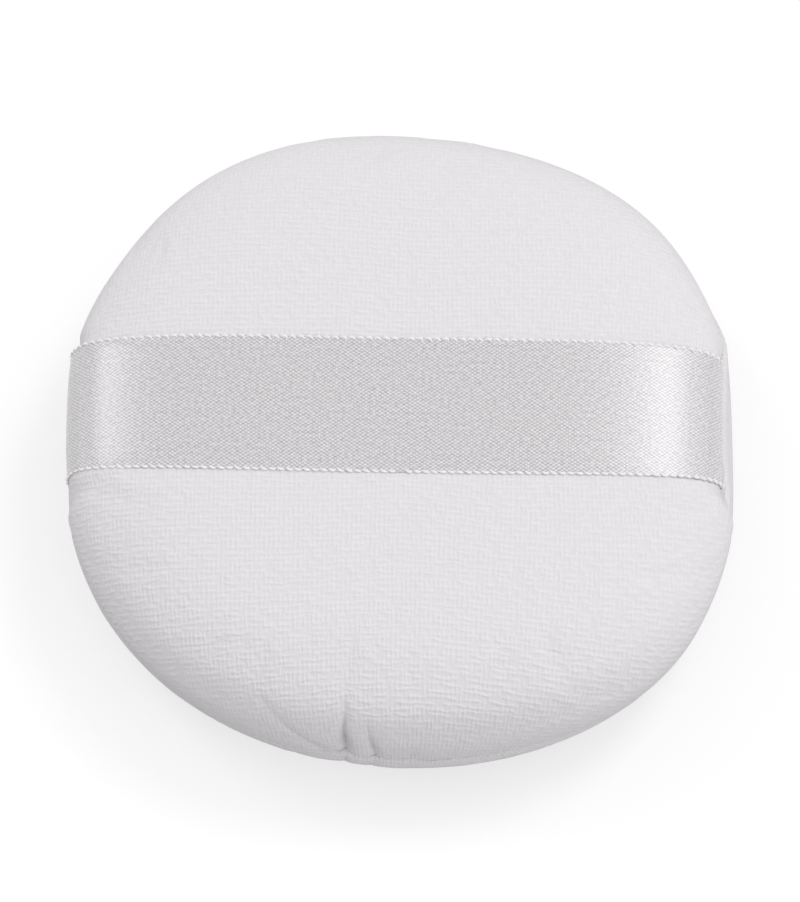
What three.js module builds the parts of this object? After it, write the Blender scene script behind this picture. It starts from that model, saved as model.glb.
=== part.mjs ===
// Powder puff: two velour covers sewn face to face and turned out over a foam pad, with a satin
// ribbon across the top for the hand. Its ends are caught in the seam, and the gap through which
// the puff was turned out is closed by hand.
// Millimetres, +Z up, +X along the ribbon, +Y to the back. The seam lies level.

import * as THREE from 'three';

const degree = Math.PI / 180;
const quarterTurn = Math.PI / 2;

// Outline of the seam from above: a mean radius, and swells with the bearings that they face
const meanRadius = 45.6;
const ovalSwell = 0.42;
const ovalBearing = -30 * degree;
const lobeSwell = 0.23;
const lobeBearing = -43 * degree;
const cornerSwell = 0.85;
const cornerBearing = 43 * degree;

// Depth of the puff above and below its seam. The crowns are superellipses of this exponent
const upperHeight = 13;
const lowerHeight = 12;
const crownExponent = 4;
const restFlatDepth = 0.5;

// Velour cloth, and how it is folded in at the seam
const clothThickness = 1.4;
const foldRadius = 1.1;
const allowanceDepth = 7;
const allowanceThickness = 1;
const seamGap = 0.3;
const clearance = 0.3;

// Satin ribbon. It is in three pieces, parted on the shoulders of the puff
const ribbonWidth = 19.5;
const ribbonThickness = 0.4;
const ribbonPartInset = 6.2;
const ribbonPartGap = 0.3;

// The taut ribbon draws the upper cover in over its right-hand end
const ribbonPull = 1.2;
const ribbonPullFocus = 8;

// The cloth stands open over the ribbon's ends and over the closing stitches
const pocketMargin = 2;
const pocketFade = 4;

// Machine seam, which stops at the turning gap, and the hand stitches that close that gap
const seamThreadDiameter = 0.3;
const closingBearing = 261 * degree;
const closingLength = 24;
const closingThreadDiameter = 0.4;
const stitchSpacing = 4;
const stitchBite = 2.4;

// Puckers that the hand stitches draw in the cloth
const puckerCount = 4;
const puckerDepth = 0.6;
const puckerWidth = 1.1;
const puckerRise = 6;
const lowerPuckerShare = 0.5;

// Steps of the meshes. Bearings crowd towards the puckers
const coverSteps = 76;
const padSteps = 38;
const crowdingShare = 0.7;
const outerRings = 8;
const innerRings = 4;
const foldSteps = 2;
const acrossSteps = 4;
const spanSteps = 12;
const shoulderSteps = 5;
const lowestTurn = 10 * degree;
const lipSteps = 3;
const threadSides = 6;
const threadSteps = 76;
const stepsPerStitch = 6;
const searchRounds = 40;
const probe = 0.01;

function planRadius(bearing) {
  const oval = ovalSwell * Math.cos(2 * (bearing - ovalBearing));
  const lobes = lobeSwell * Math.cos(3 * (bearing - lobeBearing));
  const corners = cornerSwell * Math.cos(4 * (bearing - cornerBearing));
  return meanRadius + oval + lobes + corners;
}

function upperRadius(bearing) {
  const facingShare = (1 + Math.cos(bearing)) / 2;
  return planRadius(bearing) - ribbonPull * facingShare ** ribbonPullFocus;
}

// Distance along the seam from the middle of the turning gap
function alongSeam(bearing) {
  const turn = bearing - closingBearing;
  return Math.atan2(Math.sin(turn), Math.cos(turn)) * meanRadius;
}

function fadeShare(distance, start, length) {
  return 1 - THREE.MathUtils.smoothstep(distance, start, start + length);
}

function halfGap(bearing) {
  const overRibbon = Math.abs(meanRadius * Math.sin(bearing));
  const ribbonShare = fadeShare(overRibbon, ribbonWidth / 2 + pocketMargin, pocketFade);
  const closingShare = fadeShare(Math.abs(alongSeam(bearing)), closingLength / 2, pocketFade);
  const open = Math.max(ribbonThickness, closingThreadDiameter) / 2 + clearance;
  return THREE.MathUtils.lerp(seamGap / 2, open, Math.max(ribbonShare, closingShare));
}

// How far the puckers draw the cloth in, at a bearing and a height above or below the seam
function puckerAt(bearing, height) {
  const riseShare = Math.max(0, 1 - height / puckerRise);
  let drawn = 0;
  for (let i = 0; i < puckerCount; i++) {
    const place = (i - (puckerCount - 1) / 2) * stitchSpacing;
    const away = (alongSeam(bearing) - place) / puckerWidth;
    drawn += puckerDepth * riseShare * Math.exp(-away * away);
  }
  return drawn;
}

function bearings(steps) {
  return Array.from({ length: steps }, (_, i) => {
    const turn = (2 * Math.PI * i) / steps;
    return closingBearing + turn - crowdingShare * Math.sin(turn);
  });
}

// A level of a crown, as the radius and height at each bearing. A turn of 0 is the seam's level,
// and a quarter turn is the apex. No point passes the limit, where the crown is cut flat
function crownLevel(outline, height, limit, turn) {
  const power = 2 / crownExponent;
  const z = Math.min(height * Math.sin(turn) ** power, limit);
  return (bearing) => ({ radius: outline(bearing) * Math.cos(turn) ** power, height: z });
}

// The turn at which a crown reaches the level where it is cut flat
function flatTurn(height, limit) {
  return Math.asin((limit / height) ** (crownExponent / 2));
}

function ringOf(level, steps, side) {
  return bearings(steps).map((bearing) => {
    const { radius, height } = level(bearing);
    return new THREE.Vector3(radius * Math.cos(bearing), radius * Math.sin(bearing), side * height);
  });
}

function solidOf(positions, faces) {
  const geometry = new THREE.BufferGeometry();
  let volume = 0;
  for (const [a, b, c] of faces) {
    volume += positions[a].dot(positions[b].clone().cross(positions[c]));
  }
  const outward = volume < 0 ? faces.map(([a, b, c]) => [a, c, b]) : faces;
  geometry.setFromPoints(positions);
  geometry.setIndex(outward.flat());
  geometry.computeVertexNormals();
  return geometry;
}

// A closed body through rings of points, with a pole at each end
function loftedSolid(firstPole, rings, lastPole) {
  const count = rings[0].length;
  const positions = [firstPole, ...rings.flat(), lastPole];
  const last = positions.length - 1;
  const at = (ring, i) => 1 + ring * count + (i % count);
  const faces = [];
  for (let i = 0; i < count; i++) {
    faces.push([0, at(0, i), at(0, i + 1)]);
    for (let ring = 1; ring < rings.length; ring++) {
      faces.push([at(ring - 1, i), at(ring, i), at(ring, i + 1)]);
      faces.push([at(ring - 1, i), at(ring, i + 1), at(ring - 1, i + 1)]);
    }
    faces.push([at(rings.length - 1, i), last, at(rings.length - 1, i + 1)]);
  }
  return solidOf(positions, faces);
}

// A closed body through sections whose first half runs across and whose second half runs back
function sweptSolid(sections) {
  const count = sections[0].length;
  const at = (section, i) => section * count + (i % count);
  const faces = [];
  for (let section = 1; section < sections.length; section++) {
    for (let i = 0; i < count; i++) {
      faces.push([at(section - 1, i), at(section, i), at(section, i + 1)]);
      faces.push([at(section - 1, i), at(section, i + 1), at(section - 1, i + 1)]);
    }
  }
  const end = sections.length - 1;
  for (let i = 0; i < count / 2 - 1; i++) {
    const corners = [i, i + 1, count - 2 - i, count - 1 - i];
    const [a, b, c, d] = corners.map((corner) => at(0, corner));
    const [e, f, g, h] = corners.map((corner) => at(end, corner));
    faces.push([a, b, c], [a, c, d], [e, g, f], [e, h, g]);
  }
  return solidOf(sections.flat(), faces);
}

// One cover: over its crown, round the fold at the seam, in along the allowance, and back up
function coverGeometry(outline, height, flatDepth, side, puckerShare) {
  const limit = height - flatDepth;
  const innerOutline = (bearing) => outline(bearing) - clothThickness;
  const levels = [];
  const lastTurn = Math.min(flatTurn(height, limit), quarterTurn);
  for (let i = outerRings - 1; i > 0; i--) {
    const turn = (i * quarterTurn) / outerRings;
    if (turn < lastTurn - lowestTurn / 2) levels.push(crownLevel(outline, height, limit, turn));
  }
  if (flatDepth > 0) levels.unshift(crownLevel(outline, height, limit, lastTurn));
  for (let i = 0; i <= foldSteps; i++) {
    const turn = (i * quarterTurn) / foldSteps;
    levels.push((bearing) => ({
      radius: outline(bearing) - foldRadius * (1 - Math.cos(turn)),
      height: halfGap(bearing) + foldRadius * (1 - Math.sin(turn)),
    }));
  }
  const puckered = levels.map((level) => (bearing) => {
    const point = level(bearing);
    const drawn = puckerShare * puckerAt(bearing, point.height);
    return { radius: point.radius - drawn, height: point.height };
  });
  for (const back of [0, allowanceThickness]) {
    puckered.push((bearing) => ({
      radius: outline(bearing) - allowanceDepth,
      height: halfGap(bearing) + back,
    }));
  }
  puckered.push((bearing) => ({
    radius: innerOutline(bearing),
    height: halfGap(bearing) + allowanceThickness,
  }));
  for (let i = 1; i < innerRings; i++) {
    const turn = (i * quarterTurn) / innerRings;
    const innerLimit = limit - clothThickness;
    puckered.push(crownLevel(innerOutline, height - clothThickness, innerLimit, turn));
  }
  const rings = puckered.map((level) => ringOf(level, coverSteps, side));
  const outerPole = new THREE.Vector3(0, 0, side * limit);
  const innerPole = new THREE.Vector3(0, 0, side * (limit - clothThickness));
  return loftedSolid(outerPole, rings, innerPole);
}

// Half of the pad's surface, from next to its pole to the groove that takes the allowances
function padLevels(outline, height, flatDepth) {
  const shrink = clothThickness + clearance;
  const padOutline = (bearing) => outline(bearing) - shrink;
  const overAllowance = allowanceThickness + clearance;
  const overThread = overAllowance + seamThreadDiameter + clearance;
  const threadSeat = seamThreadDiameter + 2 * clearance;
  const levels = [];
  for (let i = innerRings - 1; i > 0; i--) {
    const turn = (i * quarterTurn) / innerRings;
    levels.push(crownLevel(padOutline, height - shrink, height - flatDepth - shrink, turn));
  }
  const steps = [
    [padOutline, overThread],
    [(bearing) => padOutline(bearing) - threadSeat, overThread],
    [(bearing) => padOutline(bearing) - threadSeat, overAllowance],
    [(bearing) => upperRadius(bearing) - allowanceDepth - clearance, overAllowance],
  ];
  for (const [radiusAt, over] of steps) {
    levels.push((bearing) => ({ radius: radiusAt(bearing), height: halfGap(bearing) + over }));
  }
  return levels;
}

function padGeometry() {
  const upper = padLevels(upperRadius, upperHeight, 0);
  const lower = padLevels(planRadius, lowerHeight, restFlatDepth).reverse();
  const rings = [
    ...upper.map((level) => ringOf(level, padSteps, 1)),
    ...lower.map((level) => ringOf(level, padSteps, -1)),
  ];
  const shrink = clothThickness + clearance;
  const top = new THREE.Vector3(0, 0, upperHeight - shrink);
  const bottom = new THREE.Vector3(0, 0, restFlatDepth + shrink - lowerHeight);
  return loftedSolid(top, rings, bottom);
}

// How far the upper cover reaches to the right (side 1) or left (side -1) at a distance across
function edgeReach(across, side) {
  let low = 0;
  let high = 2 * meanRadius;
  for (let i = 0; i < searchRounds; i++) {
    const x = (low + high) / 2;
    const inside = Math.hypot(x, across) < upperRadius(Math.atan2(across, side * x));
    if (inside) low = x;
    else high = x;
  }
  return low;
}

function fillShare(x, y, z) {
  const plan = Math.hypot(x, y) / upperRadius(Math.atan2(y, x));
  return plan ** crownExponent + (z / upperHeight) ** crownExponent;
}

// The point of the upper crown over a place in plan, and the way its surface faces there
function crownPoint(x, y) {
  const z = upperHeight * (1 - fillShare(x, y, 0)) ** (1 / crownExponent);
  const slopeX = fillShare(x + probe, y, z) - fillShare(x - probe, y, z);
  const slopeY = fillShare(x, y + probe, z) - fillShare(x, y - probe, z);
  const slopeZ = fillShare(x, y, z + probe) - fillShare(x, y, z - probe);
  return { place: new THREE.Vector3(x, y, z), facing: new THREE.Vector3(slopeX, slopeY, slopeZ) };
}

function acrossRibbon() {
  return Array.from({ length: acrossSteps + 1 }, (_, i) => ribbonWidth * (i / acrossSteps - 0.5));
}

// A section of the ribbon from the points of its inner and outer face at each place across it
function ribbonSection(pointAt) {
  const inner = acrossRibbon().map((across) => pointAt(across, clearance));
  const outer = acrossRibbon().map((across) => pointAt(across, clearance + ribbonThickness));
  return [...inner, ...outer.reverse()];
}

function overCrown(x, across, lift) {
  const { place, facing } = crownPoint(x, across);
  return place.addScaledVector(facing.normalize(), lift);
}

// How far from the middle the ribbon is parted, to the right (side 1) or left (side -1)
function partReach(side) {
  return edgeReach(0, side) - ribbonPartInset;
}

function spanGeometry() {
  const left = ribbonPartGap / 2 - partReach(-1);
  const right = partReach(1) - ribbonPartGap / 2;
  const sections = Array.from({ length: spanSteps + 1 }, (_, i) => {
    const share = Math.sin(Math.PI * (i / spanSteps - 0.5));
    const x = THREE.MathUtils.lerp(left, right, (1 + share) / 2);
    return ribbonSection((across, lift) => overCrown(x, across, lift));
  });
  return sweptSolid(sections);
}

// An end of the ribbon: down the side of the puff, round the fold, and in between the allowances
function ribbonEndGeometry(side) {
  const reach = partReach(side) + ribbonPartGap / 2;
  const open = ribbonThickness / 2 + clearance;
  const sections = [];
  for (let i = 0; i <= shoulderSteps; i++) {
    sections.push(
      ribbonSection((across, lift) => {
        const edge = edgeReach(across, side);
        const firstTurn = Math.acos((reach / edge) ** (crownExponent / 2));
        const turn = THREE.MathUtils.lerp(firstTurn, lowestTurn, i / shoulderSteps);
        return overCrown(side * edge * Math.cos(turn) ** (2 / crownExponent), across, lift);
      }),
    );
  }
  for (let i = 0; i <= lipSteps; i++) {
    const turn = (i * quarterTurn) / lipSteps;
    sections.push(
      ribbonSection((across, lift) => {
        const radius = foldRadius + lift;
        const x = edgeReach(across, side) - foldRadius + radius * Math.cos(turn);
        return new THREE.Vector3(side * x, across, open + foldRadius - radius * Math.sin(turn));
      }),
    );
  }
  const tail = edgeReach(0, side) - allowanceDepth;
  sections.push(ribbonSection((across, lift) => new THREE.Vector3(side * tail, across, open - lift)));
  return sweptSolid(sections);
}

function threadGeometry(points, diameter, steps) {
  const section = new THREE.Shape();
  for (let i = 0; i < threadSides; i++) {
    const turn = (2 * Math.PI * i) / threadSides;
    const x = (diameter / 2) * Math.cos(turn);
    const y = (diameter / 2) * Math.sin(turn);
    if (i === 0) section.moveTo(x, y);
    else section.lineTo(x, y);
  }
  const extrudePath = new THREE.CatmullRomCurve3(points);
  return new THREE.ExtrudeGeometry(section, { steps, extrudePath, curveSegments: 1 });
}

// A machine thread on the back of one allowance, from one end of the turning gap to the other
function seamThreadGeometry(outline, side) {
  const inset = clothThickness + clearance + seamThreadDiameter / 2;
  const over = allowanceThickness + clearance + seamThreadDiameter / 2;
  const gapTurn = closingLength / meanRadius;
  const points = Array.from({ length: threadSteps + 1 }, (_, i) => {
    const turn = gapTurn / 2 + ((2 * Math.PI - gapTurn) * i) / threadSteps;
    const bearing = closingBearing + turn;
    const radius = outline(bearing) - inset;
    const z = side * (halfGap(bearing) + over);
    return new THREE.Vector3(radius * Math.cos(bearing), radius * Math.sin(bearing), z);
  });
  return threadGeometry(points, seamThreadDiameter, threadSteps);
}

// The closing thread runs to and fro between the two folded edges
function closingThreadGeometry() {
  const outerInset = foldRadius + puckerDepth + closingThreadDiameter;
  const stitches = Math.round(closingLength / stitchSpacing);
  const points = Array.from({ length: 2 * stitches + 1 }, (_, i) => {
    const along = (i / 2 - stitches / 2) * stitchSpacing;
    const bearing = closingBearing + along / meanRadius;
    const radius = upperRadius(bearing) - outerInset - (i % 2) * stitchBite;
    return new THREE.Vector3(radius * Math.cos(bearing), radius * Math.sin(bearing), 0);
  });
  return threadGeometry(points, closingThreadDiameter, stitches * stepsPerStitch);
}

const velour = { color: 0xe6e3e6, roughness: 0.95, metalness: 0 };
const satin = { color: 0xd6d2d6, roughness: 0.35, metalness: 0 };
const foam = { color: 0xf2f0ea, roughness: 0.9, metalness: 0 };
const sewingThread = { color: 0xf4f4f4, roughness: 0.6, metalness: 0 };

function named(name, geometry, finish) {
  const mesh = new THREE.Mesh(geometry, new THREE.MeshStandardMaterial(finish));
  mesh.name = name;
  return mesh;
}

const puff = new THREE.Group();
puff.add(
  named('top_cover', coverGeometry(upperRadius, upperHeight, 0, 1, 1), velour),
  named('bottom_cover', coverGeometry(planRadius, lowerHeight, restFlatDepth, -1, lowerPuckerShare), velour),
  named('foam_core', padGeometry(), foam),
  named('ribbon_span', spanGeometry(), satin),
  named('ribbon_end_right', ribbonEndGeometry(1), satin),
  named('ribbon_end_left', ribbonEndGeometry(-1), satin),
  named('seam_needle_thread', seamThreadGeometry(upperRadius, 1), sewingThread),
  named('seam_bobbin_thread', seamThreadGeometry(planRadius, -1), sewingThread),
  named('closing_thread', closingThreadGeometry(), sewingThread),
);

// The origin is under the middle of the puff, on the surface that it lies on
const box = new THREE.Box3().setFromObject(puff);
const middle = box.getCenter(new THREE.Vector3());
puff.position.set(-middle.x, -middle.y, -box.min.z);

export default puff;
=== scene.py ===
# Powder puff, made in the order in which it is sewn: pad, covers, ribbon, selvedges, threads.
# Metres, +Z up, +X along the ribbon, +Y away from the hand-closed gap.

import math

import bpy
import numpy as np
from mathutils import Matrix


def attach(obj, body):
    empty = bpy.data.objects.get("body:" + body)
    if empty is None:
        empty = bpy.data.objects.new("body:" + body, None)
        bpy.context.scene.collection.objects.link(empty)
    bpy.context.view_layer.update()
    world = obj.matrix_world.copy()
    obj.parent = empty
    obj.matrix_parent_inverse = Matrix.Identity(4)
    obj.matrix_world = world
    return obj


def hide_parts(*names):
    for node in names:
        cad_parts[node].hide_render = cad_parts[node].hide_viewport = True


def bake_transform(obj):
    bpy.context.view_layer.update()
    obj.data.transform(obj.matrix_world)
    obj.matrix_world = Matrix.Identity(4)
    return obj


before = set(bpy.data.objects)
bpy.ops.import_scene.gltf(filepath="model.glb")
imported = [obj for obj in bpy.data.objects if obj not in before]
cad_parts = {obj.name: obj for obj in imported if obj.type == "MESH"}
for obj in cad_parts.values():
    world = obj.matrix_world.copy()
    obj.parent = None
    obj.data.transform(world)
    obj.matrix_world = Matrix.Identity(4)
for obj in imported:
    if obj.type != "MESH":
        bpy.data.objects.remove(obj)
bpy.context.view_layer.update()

# Foam pad
# A disc of open-cell foam with the same rounded corners as the covers. It is pushed in through
# the turning gap and fills them tightly. A groove round its edge takes the seam allowances.

mm = 0.001
quarter_turn = math.pi / 2
full_turn = 2 * math.pi

upper_height = 13 * mm
lower_height = 12 * mm
rest_flat = 0.5 * mm
crown_exponent = 4

# The outline isn't quite even, so the seam's middle lies a little off the middle of the puff
seam_middle = np.array([0.53 * mm, -0.15 * mm, lower_height - rest_flat])
mean_radius = 45.96 * mm
# How many times the outline swells on its way round, how far and at which bearing
swells = (
    (1, 0.21 * mm, math.radians(54)),
    (2, 0.68 * mm, math.radians(-13.5)),
    (3, 0.1 * mm, math.radians(-42)),
    (4, 0.68 * mm, math.radians(41)),
    (5, 0.23 * mm, math.radians(-30)),
)
pinch = 0.75 * mm
pinch_spread = math.radians(13)

ribbon_width = 19.5 * mm
broad_pull = 0.3 * mm
broad_pull_focus = 8
right_pull = 0.75 * mm
left_pull = -0.85 * mm
right_straightness = 1
left_straightness = 0.3
end_tilt = 0.03
pull_fade = 2.4 * mm
# The outline is straightened up to 60 degrees from the ribbon's middle line
least_cosine = 0.5

droop = 2.9 * mm
droop_bearing = math.radians(273)
droop_spread = math.radians(60)
right_rise = 6.3 * mm
left_rise = 3 * mm
rise_fade = 18 * mm
# Where the upper cover hangs over the seam or draws in, how widely and how far
overhangs = (
    (math.radians(22), math.radians(14), -0.7 * mm),
    (math.radians(145), math.radians(10), -0.28 * mm),
    (math.radians(237), math.radians(26), 0.75 * mm),
    (math.radians(315), math.radians(22), 1.05 * mm),
)

seam_waist = 0.25 * mm
waist_rise = 3 * mm
# How far the upper and the lower cover draw in at the ribbon's ends, and between what heights
# that fades away
ribbon_waist = {1: (1.4 * mm, 5 * mm, 8 * mm), -1: (1.4 * mm, 0, 5 * mm)}
pocket_fade = 4 * mm

# A pucker's place along the seam, its lean to the side for each millimetre of rise, how deep
# and how wide it is, and how far it rises up the wall
puckers = (
    (0.2 * mm, -0.06, 1.6 * mm, 0.6 * mm, 13 * mm),
    (-1.6 * mm, -1.3, 0.65 * mm, 1.2 * mm, 11 * mm),
    (4.4 * mm, -0.17, 1.1 * mm, 0.6 * mm, 10 * mm),
    (8.8 * mm, 0.2, 0.5 * mm, 0.9 * mm, 5 * mm),
)
closing_bearing = math.radians(261)
crease_round = 0.2
hollow_spread = 3.5
hollow_share = 0.4
seam_ease = 0.5
seam_ease_rise = 3 * mm
lower_pucker_share = 0.3

cloth_thickness = 1.4 * mm
allowance_depth = 7 * mm
allowance_thickness = 1 * mm
clearance = 0.3 * mm
seam_thread = 0.3 * mm
pad_bearings = 360
pad_turns = 26
sharp_angle = math.radians(50)


def fade(distance, start, length):
    """1 up to start, then smoothly down to 0 over that length."""
    share = np.clip((distance - start) / length, 0, 1)
    return 1 - share * share * (3 - 2 * share)


def bell(bearing, centre, spread):
    turn = np.arctan2(np.sin(bearing - centre), np.cos(bearing - centre))
    return np.exp(-((turn / spread) ** 2))


def plan_radius(bearing):
    """The outline of a puff cut round and drawn square by its ribbon, which pinches both ends."""
    swell = sum(depth * np.cos(order * (bearing - centre)) for order, depth, centre in swells)
    ends = bell(bearing, 0, pinch_spread) + bell(bearing, math.pi, pinch_spread)
    return mean_radius + swell - pinch * ends


def off_middle(bearing):
    """How far the seam at a bearing lies from the ribbon's middle line."""
    return np.abs(mean_radius * np.sin(bearing))


def upper_radius(bearing):
    """The upper cover's outline. The taut ribbon pulls it in and straight at both ends, and it
    hangs over at the front."""
    broad = broad_pull * ((1 + np.cos(bearing)) / 2) ** broad_pull_focus
    right = np.cos(bearing) > 0
    reach = plan_radius(np.where(right, 0, math.pi))
    bulge = reach / np.maximum(np.abs(np.cos(bearing)), least_cosine) - plan_radius(bearing)
    close = np.where(right, right_straightness, left_straightness) * bulge
    close = close - np.where(right, right_pull, left_pull)
    close = close + end_tilt * mean_radius * np.sin(bearing)
    close = close * fade(off_middle(bearing), ribbon_width / 2, pull_fade)
    hang = sum(depth * bell(bearing, centre, spread) for centre, spread, depth in overhangs)
    return plan_radius(bearing) - broad + close + hang


def seam_shift(bearing, height):
    """How far a point moves with the seam, which droops at the front and which the taut ribbon
    draws up at both its ends."""
    rise = np.where(np.cos(bearing) > 0, right_rise, left_rise)
    rise = rise * fade(off_middle(bearing), ribbon_width / 2, rise_fade)
    rise = rise - droop * bell(bearing, droop_bearing, droop_spread)
    return rise * np.maximum(1 - np.abs(height) / upper_height, 0) ** 2


def placed(radius, bearing, height):
    """Points from their radius, bearing and height about the seam."""
    height = height + seam_shift(bearing, height)
    x, y = radius * np.cos(bearing), radius * np.sin(bearing)
    return np.stack(np.broadcast_arrays(x, y, height), axis=-1).reshape(-1, 3) + seam_middle


def crown(outline, height, limit, turn):
    """Radius and height on a crown: turn is 0 at the seam and a quarter turn at the apex."""
    power = 2 / crown_exponent
    level = np.minimum(height * np.sin(turn) ** power, limit)
    return outline * np.cos(turn) ** power, level + 0 * outline


def along_seam(bearing):
    turn = bearing - closing_bearing
    return np.arctan2(np.sin(turn), np.cos(turn)) * mean_radius


def puckered(bearing, level, side):
    """How far the closing stitches draw a cover in, with a hollow beside each crease."""
    drawn = np.zeros_like(bearing)
    for place, lean, depth, width, rise in puckers:
        away = (along_seam(bearing) - place - lean * level) / width
        crease = np.exp(crease_round - np.hypot(away, crease_round))
        hollow = np.exp(-(((away + 1) / hollow_spread) ** 2))
        drawn += depth * (crease + hollow_share * hollow) * fade(level, 0, rise)
    eased = 1 - seam_ease * fade(level, 0, seam_ease_rise)
    return drawn * eased * (1 if side > 0 else lower_pucker_share)


def waist(bearing, level, side):
    """How far a cover draws in at the seam, and most where the seam holds the ribbon."""
    beside = off_middle(bearing)
    depth, start, rise = ribbon_waist[side]
    if side > 0:
        near = fade(beside, ribbon_width / 2, pocket_fade)
    else:
        near = np.maximum(1 - (beside / (ribbon_width / 2 + pocket_fade)) ** 2, 0)
    return seam_waist * fade(level, 0, waist_rise) + depth * near * fade(level, start, rise)


def drawn_in(bearing, level, side):
    """How far a cover, and the pad inside it, draws in altogether."""
    return puckered(bearing, level, side) + waist(bearing, level, side)


def add_object(name, data):
    """A new object in the scene, from a mesh, a camera or a light."""
    added = bpy.data.objects.new(name, data)
    bpy.context.scene.collection.objects.link(added)
    return added


def mesh_piece(name, points, faces, flat=None):
    """A closed mesh whose faces point out. flat is each point's place on the cloth before it was
    sewn, as a share of the cloth's span."""
    mesh = bpy.data.meshes.new(name)
    mesh.from_pydata(points.tolist(), [], faces)
    if flat is not None:
        corners = np.empty(len(mesh.loops), dtype=np.int32)
        mesh.loops.foreach_get("vertex_index", corners)
        layer = mesh.uv_layers.new(name="cloth")
        layer.data.foreach_set("uv", flat[corners].astype(np.float32).ravel())
    mesh.calc_loop_triangles()
    triangles = np.empty(3 * len(mesh.loop_triangles), dtype=np.int32)
    mesh.loop_triangles.foreach_get("vertices", triangles)
    a, b, c = (points - points.mean(axis=0))[triangles.reshape(-1, 3)].transpose(1, 0, 2)
    if np.einsum("ij,ij->", a, np.cross(b, c)) < 0:
        mesh.flip_normals()
    mesh.shade_smooth()
    mesh.set_sharp_from_angle(angle=sharp_angle)
    return add_object(name, mesh)


def ring_faces(rings, count, first=0):
    """Quads between rings of points that follow each other from point number first."""
    i, j = np.meshgrid(np.arange(rings - 1), np.arange(count), indexing="ij")
    here, there, step = first + i * count, first + (i + 1) * count, (j + 1) % count
    faces = np.stack([here + j, there + j, there + step, here + step], axis=-1)
    return faces.reshape(-1, 4).tolist()


def pole_faces(pole, ring, count):
    return [(pole, ring + j, ring + (j + 1) % count) for j in range(count)]


def pad_half(outline, height, limit, side):
    """Rings of the pad from near one apex down to the floor of its groove."""
    shrink = cloth_thickness + clearance
    bearing = np.linspace(0, full_turn, pad_bearings, endpoint=False)
    edge = outline(bearing) - shrink
    over_allowance = allowance_thickness + 2 * clearance
    over_thread = over_allowance + seam_thread + clearance
    rings = []
    for turn in np.linspace(quarter_turn, 0, pad_turns, endpoint=False)[1:]:
        radius, level = crown(edge, height - shrink, limit - shrink, turn)
        if level.min() > over_thread + clearance:
            rings.append(placed(radius - drawn_in(bearing, level, side), bearing, side * level))
    edge = edge - drawn_in(bearing, over_thread, side)
    seat = edge - seam_thread - 2 * clearance
    rings.append(placed(edge, bearing, side * over_thread))
    rings.append(placed(seat, bearing, side * over_thread))
    rings.append(placed(seat, bearing, side * over_allowance))
    deep = outline(bearing) - allowance_depth - clearance
    rings.append(placed(deep, bearing, side * over_allowance))
    apex = seam_middle + [0, 0, side * (limit - shrink)]
    return rings, apex


def make_pad():
    upper, top = pad_half(upper_radius, upper_height, upper_height, 1)
    lower, bottom = pad_half(plan_radius, lower_height, lower_height - rest_flat, -1)
    rings = upper + lower[::-1]
    points = np.concatenate([*rings, [top], [bottom]])
    last, last_ring = len(points) - 1, (len(rings) - 1) * pad_bearings
    faces = ring_faces(len(rings), pad_bearings)
    faces += pole_faces(last - 1, 0, pad_bearings)
    faces += [face[::-1] for face in pole_faces(last, last_ring, pad_bearings)]
    return mesh_piece("foam_pad", points, faces)


def add_node(tree, kind, inputs=(), **settings):
    """The outputs of a new node. Each of its inputs is a value or another node's output."""
    node = tree.nodes.new(kind)
    for setting, value in settings.items():
        setattr(node, setting, value)
    for socket, value in dict(inputs).items():
        if isinstance(value, bpy.types.NodeSocket):
            tree.links.new(value, node.inputs[socket])
        else:
            node.inputs[socket].default_value = value
    return node.outputs


def reckon(tree, operation, *values):
    """A Math node's result. Each value is a number or another node's output."""
    return add_node(tree, "ShaderNodeMath", dict(enumerate(values)), operation=operation)[0]


def reckon_place(tree, operation, inputs):
    """A Vector Math node's result."""
    return add_node(tree, "ShaderNodeVectorMath", inputs, operation=operation)[0]


def new_group(name, kind, inputs, output, output_type="NodeSocketFloat"):
    """A node group with named inputs and one output. Gives the group, its inputs as they are
    read inside it, and the node that takes its result."""
    group = bpy.data.node_groups.new(name, kind)
    for label, socket_type, value in inputs:
        socket = group.interface.new_socket(label, in_out="INPUT", socket_type=socket_type)
        if value is not None:
            socket.default_value = value
    group.interface.new_socket(output, in_out="OUTPUT", socket_type=output_type)
    return group, group.nodes.new("NodeGroupInput").outputs, group.nodes.new("NodeGroupOutput")


def add_group(tree, group, inputs):
    """The first output of a shader node group, placed with its own values."""
    return add_node(tree, "ShaderNodeGroup", inputs, node_tree=group)[0]


def new_material(name, colour, roughness):
    material = bpy.data.materials.new(name)
    material.use_nodes = True
    shader = material.node_tree.nodes["Principled BSDF"]
    shader.inputs["Base Color"].default_value = colour
    shader.inputs["Roughness"].default_value = roughness
    return material, material.node_tree, shader


def tint(tree, shader, share, low, high):
    """Colours a surface between two colours, by the share at each point."""
    colour = {0: share, "A": (*low, 1), "B": (*high, 1)}
    colour = add_node(tree, "ShaderNodeMix", colour, data_type="RGBA")["Result"]
    tree.links.new(colour, shader.inputs["Base Color"])


def raise_pattern(tree, shader, height, distance, strength=1):
    """Lets a pattern stand up from a surface."""
    bump = {"Height": height, "Distance": distance, "Strength": strength}
    bump = add_node(tree, "ShaderNodeBump", bump)["Normal"]
    tree.links.new(bump, shader.inputs["Normal"])


def make_fibres_group():
    """Fine uneven fuzz, as loose fibres give it."""
    sockets = [("Place", "NodeSocketVector", None), ("Fibre size", "NodeSocketFloat", 0.25)]
    group, given, result = new_group("fibres", "ShaderNodeTree", sockets, "Height")
    scale = reckon(group, "DIVIDE", 1, given["Fibre size"])
    noise = {"Vector": given["Place"], "Scale": scale, "Detail": 3, "Roughness": 0.65}
    fuzz = add_node(group, "ShaderNodeTexNoise", noise)
    group.links.new(fuzz["Fac"], result.inputs["Height"])
    return group


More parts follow.
